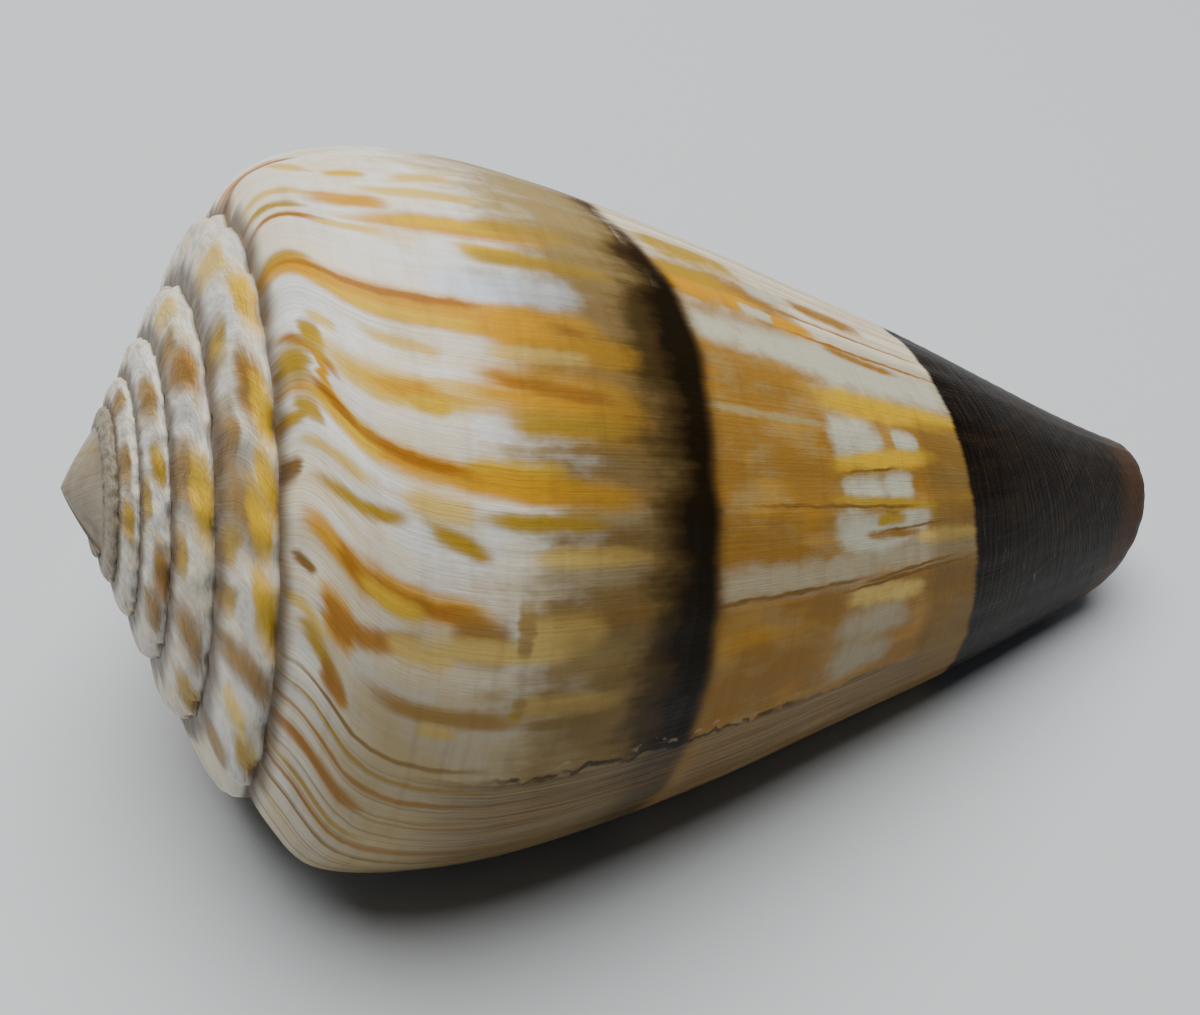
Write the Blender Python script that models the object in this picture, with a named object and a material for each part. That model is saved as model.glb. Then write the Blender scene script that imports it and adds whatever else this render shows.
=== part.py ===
"""An adult cone shell, 79 mm long, lying on its aperture side.

The shell is one piece. Its wall is a rolled sheet that grows by a fixed ratio each turn, so one whorl
outline, scaled and turned about the coiling axis, gives the spire, the body whorl and the slit of the
aperture. The shell is first built in its own frame, in millimetres: the apex is at the origin, the coiling
axis runs down -Z to the tip of the base, and growth runs clockwise seen from the apex (a right-handed
shell). An angle theta counts growth: near 0 is the lip, and each turn before it is 360 less.
"""

import math

import bmesh
import bpy
import numpy as np
from mathutils import Matrix

MM = 0.001

# Growth
WHORL_RATIO = 1.353        # growth of every length in one turn
SPIRE_TURNS = 7            # turns modelled before the last one; what comes before them is the worn apex
STEPS = 45                 # columns in one turn
LIP_ANGLE = -7.0           # growth angle where the lip leaves the suture
TURN = 360.0

# Outline of a whorl at the lip, as (radius, depth below the apex), from the suture down to the shoulder.
# The turns of the spire have a firm edge, and the last turn rounds over and sinks a little.
SPIRE_OUTLINE = ((17.62, 9.02), (18.45, 9.00), (20.05, 9.60), (21.70, 10.30), (23.05, 11.00), (23.65, 11.60),
                 (23.84, 12.20), (23.80, 14.60))
BODY_OUTLINE = ((17.62, 9.02), (18.70, 9.35), (20.05, 10.15), (21.10, 11.25), (21.90, 12.60), (22.40, 14.10),
                (22.70, 15.60), (22.95, 17.50))
LATE_FROM, LATE_TO = -360.0, -200.0       # where the last turn's outline takes over
ATTACH = 6                                # outline point that carries the next turn's suture
ROOF = 7                                  # outline point where the next turn's inner face starts

# Side of a whorl below the shoulder, as (radius, depth), on down to the thin column inside the base
SIDE = ((22.95, 17.5), (23.04, 19.7), (22.85, 23.7), (22.15, 28.6), (20.22, 37.8), (17.04, 49.5),
        (13.81, 61.2), (10.51, 71.5), (7.80, 80.0), (5.60, 88.0), (4.05, 96.0), (3.20, 105.0),
        (2.80, 120.0), (2.60, 160.0))
SIDE_ROWS = 14                            # rows from the shoulder to the base
ROW_CROWDING = 1.25                       # over 1, rows lie closer together near the shoulder

# The lip is not straight: it leaves the suture at a right angle and then runs forward over the shoulder.
# Each pair is a depth at the lip's scale and how many degrees forward the lip stands there.
LIP_SWEEP = ((9.0, 0.0), (9.7, -0.8), (10.3, 0.2), (11.2, 3.5), (12.0, 6.5), (13.0, 8.8), (14.0, 10.2),
             (15.5, 11.4), (17.5, 12.2), (20.0, 13.0))
SWEEP_FROM = -167.0                       # growth angle where the columns begin to follow the lip's line

# The open end of the base, cut back on the lip's side
BASE_DEPTH = 78.4
BASE_SLANT = 0.26                         # depth lost per millimetre towards the lip
BASE_LEAN = 0.23                          # and per millimetre a quarter turn after it
LIP_CORNER = 4.0                          # depth lost where the lip's front end is rounded off
LIP_CORNER_ANGLE = 25.0                   # and over how many degrees to each side
RIM_ROUNDING = 1.0
TIP_ROUNDING = 0.6

# Wall and cavity
WALL = 1.5                                # at the lip's scale
LIP_WALL = 0.8                            # at the growing edge itself
LIP_TAPER = 40.0                          # degrees of growth over which the wall thins to that
CANAL_OPEN = 152.0                        # degrees before the lip where the canal at the base closes
CAVITY_END = -360.0                       # the cavity runs this far back from the lip
FLOOR_RISE = 0.23                         # how fast its floor climbs behind the canal, per degree

# How the shell lies: its axis slopes down to the tip, and it is rolled onto the lip and the last turn
REST_SLOPE = 11.1
REST_ROLL = 233.4


def growth(theta):
    """Scale of the shell at growth angle theta."""
    return WHORL_RATIO ** (theta / TURN)


def smoothstep(low, high, value):
    share = min(1.0, max(0.0, (value - low) / (high - low)))
    return share * share * (3.0 - 2.0 * share)


def smooth_curve(knots, per_span=12):
    """Points of a smooth curve through the knots, with slopes taken from each knot's neighbours."""
    p = np.array(knots, float)
    length = np.concatenate([[0.0], np.cumsum(np.linalg.norm(np.diff(p, axis=0), axis=1))])
    slope = np.gradient(p, length, axis=0)
    points = []
    for i in range(len(p) - 1):
        span = length[i + 1] - length[i]
        for t in np.linspace(0.0, 1.0, per_span, endpoint=False):
            points.append((2 * t**3 - 3 * t**2 + 1) * p[i] + (t**3 - 2 * t**2 + t) * span * slope[i]
                          + (3 * t**2 - 2 * t**3) * p[i + 1] + (t**3 - t**2) * span * slope[i + 1])
    points.append(p[-1])
    return np.array(points)


SIDE_CURVE = smooth_curve(SIDE)


def side_radius(along):
    """Radius of the outer face below the shoulder, at the lip's scale."""
    return float(np.interp(along, SIDE_CURVE[:, 1], SIDE_CURVE[:, 0]))


def sweep(theta, along):
    """Degrees by which a column at theta is turned forward at this depth, to run along the lip's line."""
    depths = [pair[0] for pair in LIP_SWEEP]
    degrees = [pair[1] for pair in LIP_SWEEP]
    return smoothstep(SWEEP_FROM, LIP_ANGLE, theta) * float(np.interp(along, depths, degrees))


def base_depth(theta, radius):
    """Depth of the base's open end: a slanting cut, rounded off where it meets the lip."""
    angle = math.radians(theta)
    slant = BASE_SLANT * math.cos(angle) + BASE_LEAN * math.sin(angle)
    return BASE_DEPTH - slant * radius - LIP_CORNER * smoothstep(-LIP_CORNER_ANGLE, LIP_CORNER_ANGLE, theta)


def end_depth(theta):
    """Depth at which the side at theta meets the open end of the base."""
    k = growth(theta)
    depth = BASE_DEPTH
    for _ in range(6):
        depth = base_depth(theta, k * side_radius(depth / k))
    return depth


def floor_depth(theta):
    """Depth of the cavity's floor: the open end of the base in the canal, and rising behind it."""
    behind = max(0.0, -theta - CANAL_OPEN)
    return end_depth(theta) - FLOOR_RISE * behind


def wall(theta):
    """Thickness of the wall, thinner at the growing edge."""
    taper = smoothstep(0.0, LIP_TAPER, LIP_ANGLE - theta)
    return LIP_WALL + (WALL * growth(theta) - LIP_WALL) * taper


def outline(theta, last_depth):
    """Radius and depth of a column's rows at the lip's scale, from the suture to last_depth."""
    late = smoothstep(LATE_FROM, LATE_TO, theta)
    rows = [tuple(p) for p in (1.0 - late) * np.array(SPIRE_OUTLINE) + late * np.array(BODY_OUTLINE)]
    first = rows[-1][1]
    last = last_depth / growth(theta + sweep(theta, LIP_SWEEP[-1][0]))
    for row in range(1, SIDE_ROWS):
        along = first + (last - RIM_ROUNDING - first) * (row / (SIDE_ROWS - 1)) ** ROW_CROWDING
        rows.append((side_radius(along), along))
    rows.append((side_radius(last) - RIM_ROUNDING / 2, last))
    return rows


def outer_column(theta, last_depth):
    """Angle, radius and depth of the outer face's rows at theta, from the suture to last_depth."""
    rows = []
    for radius, along in outline(theta, last_depth):
        angle = theta + sweep(theta, along)
        k = growth(angle)
        rows.append((angle, k * radius, k * along))
    return rows


def inner_column(theta, last_depth):
    """The same for the inner face of the wall: the outer rows set in by the wall's thickness."""
    rows = np.array(outer_column(theta, last_depth))
    rows[-1][1] += RIM_ROUNDING / 2
    along = np.gradient(rows[:, 1:], axis=0)
    along /= np.linalg.norm(along, axis=1)[:, None]
    rows[:, 1] -= along[:, 1] * wall(theta)
    rows[:, 2] += along[:, 0] * wall(theta)
    rows[-1][2] = last_depth
    return [tuple(row) for row in rows]


class ShellMesh:
    """Collects the shell's points and faces. A key names each point, so neighbouring faces share it."""

    def __init__(self):
        self.points = []
        self.index = {}
        self.faces = []

    def add(self, key, theta, radius, depth):
        angle = -math.radians(theta)
        self.index[key] = len(self.points)
        self.points.append((radius * math.cos(angle), radius * math.sin(angle), -depth))

    def face(self, *keys):
        corners = []
        for key in keys:
            if self.index[key] not in corners:
                corners.append(self.index[key])
        if len(corners) > 2:
            self.faces.append(corners)


def column_angle(column):
    """Growth angle of a column; column 0 is the lip and earlier ones are negative."""
    return LIP_ANGLE + column * TURN / STEPS


def add_points(shell):
    """Every point of the shell. A turn's attachment row is the suture of the turn after it."""
    first = -(SPIRE_TURNS + 1) * STEPS
    last_row = ROOF + SIDE_ROWS
    canal = -round(CANAL_OPEN / TURN * STEPS)
    cavity = round(CAVITY_END / TURN * STEPS)
    for column in range(first, 1):
        theta = column_angle(column)
        in_last_turn = column >= -STEPS
        beside_cavity = cavity <= column + STEPS <= 0
        rim = theta + sweep(theta, LIP_SWEEP[-1][0])
        rows = outer_column(theta, end_depth(rim) if in_last_turn else floor_depth(theta + TURN))
        before = column - STEPS
        if before < first:
            shell.add(("out", column, 0), *rows[0])
        else:
            shell.index["out", column, 0] = shell.index["out", before, ATTACH]
        for row in range(1, last_row + 1):
            if row <= ATTACH or in_last_turn or beside_cavity:
                shell.add(("out", column, row), *rows[row])
    for column in range(cavity, 1):
        theta = column_angle(column)
        rim = theta + sweep(theta, LIP_SWEEP[-1][0])
        rows = inner_column(theta, floor_depth(rim))
        before = column - STEPS
        shell.index["in", column, 0] = shell.index["out", before, ROOF]
        for row in range(1, last_row + 1):
            shell.add(("in", column, row), *rows[row])
        if column < canal:
            shell.index["in", column, last_row] = shell.index["out", before, last_row]
    return first, last_row, canal, cavity


def add_faces(shell, first, last_row, canal, cavity):
    """The outside, the cavity, the lip, the base and the worn apex."""
    for column in range(first, 0):
        rows = range(last_row) if column >= -STEPS else range(ATTACH)
        for row in rows:
            shell.face(("out", column, row), ("out", column + 1, row), ("out", column + 1, row + 1),
                       ("out", column, row + 1))
    for column in range(cavity, 0):
        before = column - STEPS
        for row in range(ROOF, last_row):
            shell.face(("out", before, row), ("out", before + 1, row), ("out", before + 1, row + 1),
                       ("out", before, row + 1))
        for row in range(last_row):
            shell.face(("in", column, row), ("in", column + 1, row), ("in", column + 1, row + 1),
                       ("in", column, row + 1))
    for row in range(last_row):
        shell.face(("out", 0, row), ("out", 0, row + 1), ("in", 0, row + 1), ("in", 0, row))
    far = cavity - STEPS
    for row in range(ROOF):
        shell.face(("out", far, ROOF), ("in", cavity, row), ("in", cavity, row + 1))
    for row in range(ROOF, last_row):
        shell.face(("out", far, row), ("in", cavity, row), ("in", cavity, row + 1), ("out", far, row + 1))
    for column in range(canal, 0):
        shell.face(("out", column, last_row), ("out", column + 1, last_row), ("in", column + 1, last_row),
                   ("in", column, last_row))
    shell.face(("in", canal, last_row), ("out", canal - STEPS, last_row), ("in", canal - 1, last_row))
    close_column(shell, last_row, canal)
    close_apex(shell, first)


def close_column(shell, last_row, canal):
    """The tip of the inner column, as a low cone of triangles about the axis."""
    ring = [("out", column, last_row) for column in range(-STEPS, canal + 1)]
    ring.append(("in", canal, last_row))
    ring += [("out", column, last_row) for column in range(canal - STEPS, -STEPS + 1)]
    shell.add("tip", 0.0, 0.0, BASE_DEPTH + TIP_ROUNDING)
    for here, there in zip(ring, ring[1:]):
        shell.face(here, there, "tip")


def close_apex(shell, first):
    """The worn apex, as triangles from the first turn to the axis."""
    ring = [("out", column, 0) for column in range(first, first + STEPS + 1)]
    ring += [("out", first, row) for row in range(ATTACH, -1, -1)]
    shell.add("apex", 0.0, 0.0, 0.0)
    for here, there in zip(ring, ring[1:]):
        shell.face(here, there, "apex")


def pearly_brown():
    """Cream shell with ochre: one plain colour, because the markings belong to the looks."""
    material = bpy.data.materials.new("shell")
    material.use_nodes = True
    surface = material.node_tree.nodes["Principled BSDF"]
    surface.inputs["Base Color"].default_value = (0.62, 0.48, 0.30, 1.0)
    surface.inputs["Roughness"].default_value = 0.35
    surface.inputs["Metallic"].default_value = 0.0
    return material


def resting_matrix():
    """Turns the shell's own frame so that its axis runs along +X, sloping down to the tip."""
    roll = Matrix.Rotation(math.radians(REST_ROLL), 4, "Z")
    lay_down = Matrix.Rotation(math.radians(-90.0 + REST_SLOPE), 4, "Y")
    return lay_down @ roll


def make_shell():
    shell = ShellMesh()
    sizes = add_points(shell)
    add_faces(shell, *sizes)
    mesh = bpy.data.meshes.new("shell")
    mesh.from_pydata(shell.points, [], shell.faces)
    work = bmesh.new()
    work.from_mesh(mesh)
    bmesh.ops.delete(work, geom=[v for v in work.verts if not v.link_faces], context="VERTS")
    bmesh.ops.recalc_face_normals(work, faces=work.faces)
    work.to_mesh(mesh)
    work.free()
    mesh.transform(resting_matrix())
    corners = np.array([v.co for v in mesh.vertices])
    low, high = corners.min(axis=0), corners.max(axis=0)
    mesh.transform(Matrix.Translation((-(low[0] + high[0]) / 2, -(low[1] + high[1]) / 2, -low[2])))
    mesh.transform(Matrix.Scale(MM, 4))
    mesh.shade_smooth()
    mesh.set_sharp_from_angle(angle=math.radians(40.0))
    mesh.materials.append(pearly_brown())
    obj = bpy.data.objects.new("shell", mesh)
    bpy.context.scene.collection.objects.link(obj)
    return obj


def main():
    for old in list(bpy.data.objects):
        bpy.data.objects.remove(old)
    make_shell()


main()
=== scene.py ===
"""A cone shell: its fine form, its markings, soft light and the camera.

The shell's own frame is in millimetres: the apex is at the origin, the coiling axis runs down -Z to the
tip of the base, and growth runs clockwise seen from the apex. Two coordinates place everything on its
skin: growth, an angle in degrees that is 0 at the lip and -360 one turn before it, and along, the depth
below the apex scaled to the lip's size, which is the same number all along a spiral line.
"""

import math

import bmesh
import bpy
import numpy as np
from mathutils import Matrix, Vector

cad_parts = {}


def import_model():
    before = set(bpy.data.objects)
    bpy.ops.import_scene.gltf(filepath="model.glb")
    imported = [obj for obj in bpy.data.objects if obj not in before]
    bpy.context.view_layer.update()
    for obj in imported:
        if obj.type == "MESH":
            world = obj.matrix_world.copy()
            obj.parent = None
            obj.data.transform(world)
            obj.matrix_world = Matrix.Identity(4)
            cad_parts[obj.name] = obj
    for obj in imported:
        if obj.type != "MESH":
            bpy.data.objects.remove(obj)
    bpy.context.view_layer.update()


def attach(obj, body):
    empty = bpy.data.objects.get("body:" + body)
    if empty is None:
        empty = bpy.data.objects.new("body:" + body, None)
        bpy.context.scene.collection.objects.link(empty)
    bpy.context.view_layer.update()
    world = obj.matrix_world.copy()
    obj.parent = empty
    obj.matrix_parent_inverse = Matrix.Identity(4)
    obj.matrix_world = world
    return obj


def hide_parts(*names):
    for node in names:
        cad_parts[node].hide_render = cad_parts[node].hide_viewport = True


MM = 0.001

# Growth
WHORL_RATIO = 1.353                       # growth of every length in one turn
TURN = 360.0
SPIRE_TURNS = 5                           # turns modelled between the worn apex and the last turn
STEPS = 180                               # columns in one turn
LIP_ANGLE = -7.0                          # growth angle where the lip leaves the suture

# Outline of a whorl, as (radius, depth), from the suture to the shoulder: on the spire and on the last turn
SPIRE_OUTLINE = (
    (17.62, 9.02), (18.45, 9.00), (20.05, 9.60), (21.70, 10.30), (23.05, 11.00), (23.65, 11.60),
    (23.84, 12.20), (23.80, 14.60))
BODY_OUTLINE = (
    (17.62, 9.02), (18.70, 9.35), (20.05, 10.15), (21.10, 11.25), (21.90, 12.60), (22.40, 14.10),
    (22.70, 15.60), (22.95, 17.50))
LATE_FROM, LATE_TO = -360.0, -200.0       # growth angles over which the first turns into the second
OUTLINE_DETAIL = 3                        # mesh rows to one outline point
ATTACH = 6 * OUTLINE_DETAIL               # row that carries the next turn's suture
ROOF = 7 * OUTLINE_DETAIL                 # row where the next turn's inner face starts

# The side, as (radius, depth), from the shoulder down and on past the base
SIDE = ((22.95, 17.5), (23.04, 19.7), (22.85, 23.7), (22.15, 28.6), (20.22, 37.8), (17.04, 49.5),
        (13.81, 61.2), (10.51, 71.5), (7.80, 80.0), (5.60, 88.0), (4.05, 96.0), (3.20, 105.0),
        (2.80, 120.0), (2.60, 160.0))
SIDE_ROWS = 88
ROW_CROWDING = 1.1                        # over 1, rows lie closer together near the shoulder

# How far forward the growth lines stand, in degrees, at each depth
LINE_SWEEP = ((9.0, 0.0), (9.7, -0.8), (10.3, 0.2), (11.2, 3.5), (12.0, 6.5), (13.0, 8.8), (14.0, 10.2),
              (15.5, 11.4), (17.5, 12.2), (20.0, 13.0))
SWEEP_FROM = -167.0                       # growth angle where the columns begin to follow the lip's line

# The open end of the base
BASE_DEPTH = 78.4
BASE_SLANT = 0.26                         # depth lost per millimetre towards the lip
BASE_LEAN = 0.23                          # and per millimetre a quarter turn after it
LIP_CORNER = 4.0                          # depth lost where the lip's front end is rounded off
LIP_CORNER_ANGLE = 25.0                   # and over how many degrees to each side
RIM_ROUNDING = 1.0
TIP_ROUNDING = 0.6
DEPTH_PASSES = 6                          # the rim's depth depends on its radius, and settles in these

# Wall and cavity
WALL = 1.5                                # at the lip's scale
LIP_WALL = 0.8                            # at the growing edge itself
LIP_TAPER = 40.0                          # degrees of growth over which the wall thins to that
CANAL_OPEN = 152.0                        # degrees before the lip where the canal at the base closes
CAVITY_END = -360.0                       # the cavity runs this far back from the lip
FLOOR_RISE = 0.23                         # how fast its floor climbs behind the canal, per degree

# Columns and rows of the mesh that something starts or ends at
FIRST_COLUMN = -(SPIRE_TURNS + 1) * STEPS
CANAL_COLUMN = -round(CANAL_OPEN / TURN * STEPS)
CAVITY_COLUMN = round(CAVITY_END / TURN * STEPS)
LAST_ROW = ROOF + SIDE_ROWS

# Relief of the outer face, in millimetres at the lip's scale; a wave is (period, height, shift)
SCALLOPS = ((11.3, 0.24, 0.1), (17.9, 0.26, 0.6), (7.1, 0.15, 0.3))
SCALLOPS_FROM, SCALLOPS_WIDTH = 11.0, 1.0
GROWTH_FOLDS = ((7.7, 0.04, 0.2), (12.9, 0.06, 0.7), (4.3, 0.015, 0.5))
FOLDS_LOST = 0.8                          # share of the folds' height that is gone on the base
THREAD_PERIOD, THREAD_HEIGHT = 1.9, 0.015
THREADS_FROM, THREADS_WIDTH = 56.0, 6.0
SWELL = 0.38                              # how far a turn of the spire swells between its sutures
SWELL_WAVES = ((14.3, 0.35, 0.4), (9.1, 0.3, 0.1))
SWELL_FROM, SWELL_WIDTH = 9.1, 2.9
SHARP_ANGLE = 50.0                        # degrees between two faces above which their edge isn't smoothed

# The worn apex: rows of its rounded cone, how blunt it is, and the growth and along values over it
CAP_ROWS = 8
CAP_POWER = 1.18
CAP_ALONG = 10.5
CAP_GROWTH = 2.3
CAP_SPREAD = 0.33

# How the shell lies, and where that puts its apex in the row frame
REST_SLOPE = 11.1
REST_ROLL = 233.4
APEX_AT = (-39.70, 1.57, 21.09)

# The camera, in the shell's own frame
CAMERA_AT = (20.47, 74.17, 4.78)
CAMERA_RIGHT = (0.11589, 0.43153, -0.89462)
CAMERA_UP = (-0.96759, 0.25248, -0.00355)
LENS = 38.16
SENSOR = 36.0
NEAREST_SEEN = 0.005

# Floor, lamp and surroundings, in metres and watts
FLOOR_HALF = 1.5
FLOOR_COLOUR = (192, 195, 197)
FLOOR_ROUGHNESS = 0.9
LAMP_SIZE = 0.9
LAMP_POWER = 16.0
LAMP_AT = (-0.05, 0.17, 0.86)
LAMP_AIM = (0.0, 0.0, 0.02)
SKY_COLOUR = (0.86, 0.93, 1.0, 1.0)
FILL_LIGHT = 0.06                         # strength of the sky as a light
BACKDROP_LIGHT = 0.5                      # and as it is seen beyond the floor

# Zones of the surface, each with a material of its own: side and lower meet in the middle of the dark band
ZONES = ("spire", "side", "lower", "inside")
BAND_MIDDLE = 31.0
GLAZE_FROM = 8                            # columns inside the aperture before the white glaze begins


def growth(theta):
    """Scale of the shell at growth angle theta."""
    return WHORL_RATIO ** (theta / TURN)


def smoothstep(low, high, value):
    share = min(1.0, max(0.0, (value - low) / (high - low)))
    return share * share * (3.0 - 2.0 * share)


def smooth_curve(knots, per_span=12):
    """Points of a smooth curve through the knots, with slopes taken from each knot's neighbours."""
    p = np.array(knots, float)
    length = np.concatenate([[0.0], np.cumsum(np.linalg.norm(np.diff(p, axis=0), axis=1))])
    slope = np.gradient(p, length, axis=0)
    points = []
    for i in range(len(p) - 1):
        span = length[i + 1] - length[i]
        for t in np.linspace(0.0, 1.0, per_span, endpoint=False):
            points.append((2 * t**3 - 3 * t**2 + 1) * p[i] + (t**3 - 2 * t**2 + t) * span * slope[i]
                          + (3 * t**2 - 2 * t**3) * p[i + 1] + (t**3 - t**2) * span * slope[i + 1])
    points.append(p[-1])
    return np.array(points)


SIDE_CURVE = smooth_curve(SIDE)
SPIRE_CURVE = smooth_curve(SPIRE_OUTLINE, OUTLINE_DETAIL)
BODY_CURVE = smooth_curve(BODY_OUTLINE, OUTLINE_DETAIL)
SWEEP_DEPTHS = [pair[0] for pair in LINE_SWEEP]
SWEEP_DEGREES = [pair[1] for pair in LINE_SWEEP]


def side_radius(along):
    """Radius of the side at this depth, at the lip's scale."""
    return np.interp(along, SIDE_CURVE[:, 1], SIDE_CURVE[:, 0])


def line_sweep(along):
    """Degrees by which a growth line stands forward at this depth."""
    return np.interp(along, SWEEP_DEPTHS, SWEEP_DEGREES)


def base_depth(theta, radius):
    """Depth of the base's slanting end at this angle and radius."""
    angle = math.radians(theta)
    slant = BASE_SLANT * math.cos(angle) + BASE_LEAN * math.sin(angle)
    return BASE_DEPTH - slant * radius - LIP_CORNER * smoothstep(-LIP_CORNER_ANGLE, LIP_CORNER_ANGLE, theta)


def end_depth(theta):
    """Depth at which the outer face ends at this angle."""
    k = growth(theta)
    depth = BASE_DEPTH
    for _ in range(DEPTH_PASSES):
        depth = base_depth(theta, k * float(side_radius(depth / k)))
    return depth


def floor_depth(theta):
    """Depth at which the cavity ends at this angle."""
    return end_depth(theta) - FLOOR_RISE * max(0.0, -theta - CANAL_OPEN)


def wall(theta):
    """Thickness of the wall at this angle."""
    taper = smoothstep(0.0, LIP_TAPER, LIP_ANGLE - theta)
    return LIP_WALL + (WALL * growth(theta) - LIP_WALL) * taper


def wave(value, *terms):
    """Sum of sines of value, each term given as (period, height, shift)."""
    total = 0.0
    for period, height, shift in terms:
        total = total + height * np.sin(2 * math.pi * (value / period + shift))
    return total


def rise(value, start, width):
    """0 up to start, then straight up to 1 over width."""
    return np.clip((value - start) / width, 0.0, 1.0)


def lift(theta, along):
    """How far the outer face stands proud of the smooth form, in millimetres at the lip's scale."""
    on_spire = 1.0 if theta[0] < LATE_FROM else 0.0
    on_base = rise(along, THREADS_FROM, THREADS_WIDTH)
    scallops = wave(theta, *SCALLOPS) * (rise(along, SCALLOPS_FROM, SCALLOPS_WIDTH) * on_spire)
    folds = wave(theta - line_sweep(along), *GROWTH_FOLDS) * (1.0 - FOLDS_LOST * on_base)
    threads = THREAD_HEIGHT * np.sin(2 * math.pi * along / THREAD_PERIOD) * on_base
    on_ramp = rise(along, SWELL_FROM, SWELL_WIDTH) * on_spire
    swell = SWELL * np.sin(math.pi * on_ramp) * (1.0 + wave(theta, *SWELL_WAVES))
    return scallops + folds + threads + swell


def rim_angle(theta):
    """Growth angle that the column starting at theta has when it reaches the rim."""
    return theta + smoothstep(SWEEP_FROM, LIP_ANGLE, theta) * SWEEP_DEGREES[-1]


def column(theta, last_depth):
    """Angle, radius and depth of the smooth outer face's rows at theta, from the suture to last_depth."""
    late = smoothstep(LATE_FROM, LATE_TO, theta)
    top = (1.0 - late) * SPIRE_CURVE + late * BODY_CURVE
    swing = smoothstep(SWEEP_FROM, LIP_ANGLE, theta)
    first = top[-1][1]
    last = last_depth / growth(rim_angle(theta))
    share = (np.arange(1, SIDE_ROWS + 1) / SIDE_ROWS) ** ROW_CROWDING
    along = first + (last - first) * share
    from_rim = np.clip(1.0 - (last - along) / RIM_ROUNDING, 0.0, 1.0)
    radius = side_radius(along) - RIM_ROUNDING / 2 * (1.0 - np.sqrt(1.0 - from_rim ** 2))
    along = np.concatenate([top[:, 1], along])
    radius = np.concatenate([top[:, 0], radius])
    angle = theta + swing * line_sweep(along)
    k = WHORL_RATIO ** (angle / TURN)
    return np.stack([angle, k * radius, k * along], axis=1)


def outward(rows):
    """Directions square to a column's outline, away from the axis."""
    along = np.gradient(rows[:, 1:], axis=0)
    along /= np.linalg.norm(along, axis=1)[:, None]
    return np.stack([np.zeros(len(rows)), along[:, 1], -along[:, 0]], axis=1)


def relieved(rows):
    """The column with its relief added."""
    k = WHORL_RATIO ** (rows[:, 0] / TURN)
    return rows + outward(rows) * (k * lift(rows[:, 0], rows[:, 2] / k))[:, None]


def inner_column(theta, last_depth):
    """The wall's inner face at theta."""
    rows = column(theta, last_depth)
    rows = rows - outward(rows) * wall(theta)
    rows[-1][2] = last_depth
    return rows


def face_zone(keys, places):
    """The number of the zone, and so of the material, that a face is in."""
    if keys[0][0] == "cap" or (keys[0][0] == "out" and keys[0][1] < -STEPS):
        return ZONES.index("spire")
    if all(place[2] > 0.5 for place in places):
        return ZONES.index("inside")
    middle = sum(place[1] for place in places) / len(places)
    return ZONES.index("side" if middle < BAND_MIDDLE else "lower")


class ShellMesh:
    """Points and faces of the shell. A key names each point, and keeps its own growth and along values."""

    def __init__(self):
        self.points = []
        self.index = {}
        self.place = {}
        self.faces = []
        self.corners = []
        self.zones = []

    def add(self, key, row, shared=None):
        """A new point under this key, or another name for the point that is shared."""
        theta, radius, depth = (float(value) for value in row)
        along = depth / growth(theta)
        inside = key[0] == "in" or (key[0] == "back" and key[1] < -STEPS - GLAZE_FROM)
        self.place[key] = (theta - float(line_sweep(along)), along, 1.0 if inside else 0.0)
        if shared is not None:
            self.index[key] = self.index[shared]
            return
        angle = -math.radians(theta)
        self.index[key] = len(self.points)
        self.points.append((radius * math.cos(angle), radius * math.sin(angle), -depth))

    def face(self, *keys):
        """A face through these points, less any that coincide."""
        corners = []
        places = []
        for key in keys:
            if self.index[key] not in corners:
                corners.append(self.index[key])
                places.append(self.place[key])
        if len(corners) > 2:
            self.faces.append(corners)
            self.corners.extend(places)
            self.zones.append(face_zone(keys, places))


def column_angle(number):
    return LIP_ANGLE + number * TURN / STEPS


def add_outer_column(shell, number):
    theta = column_angle(number)
    in_last_turn = number >= -STEPS
    beside_cavity = CAVITY_COLUMN <= number + STEPS <= 0
    smooth = column(theta, end_depth(rim_angle(theta)) if in_last_turn else floor_depth(theta + TURN))
    rows = relieved(smooth)
    before = number - STEPS
    shell.add(("out", number, 0), smooth[0], None if before < FIRST_COLUMN else ("out", before, ATTACH))
    for row in range(1, LAST_ROW + 1):
        if row <= ATTACH or in_last_turn:
            shell.add(("out", number, row), rows[row])
        if row == ATTACH and beside_cavity:
            shell.add(("back", number, row), rows[row], ("out", number, row))
        if row > ATTACH and beside_cavity:
            twin = ("out", number, row) if in_last_turn else None
            shell.add(("back", number, row), smooth[row], twin)


def add_inner_column(shell, number):
    theta = column_angle(number)
    rows = inner_column(theta, floor_depth(rim_angle(theta)))
    before = number - STEPS
    shell.add(("in", number, 0), rows[0], ("back", before, ROOF))
    for row in range(1, LAST_ROW + 1):
        shared = ("back", before, row) if row == LAST_ROW and number < CANAL_COLUMN else None
        shell.add(("in", number, row), rows[row], shared)


def add_points(shell):
    """Every point of the shell. Names: out for the outer face, back for a turn inside the cavity, in for
    the wall's inner face. A turn's attachment row is the suture of the turn after it."""
    for number in range(FIRST_COLUMN, 1):
        add_outer_column(shell, number)
    for number in range(CAVITY_COLUMN, 1):
        add_inner_column(shell, number)


def add_strip(shell, side, number, rows):
    """A column of faces between two neighbouring columns of one side."""
    for row in rows:
        shell.face((side, number, row), (side, number + 1, row), (side, number + 1, row + 1),
                   (side, number, row + 1))


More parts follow.
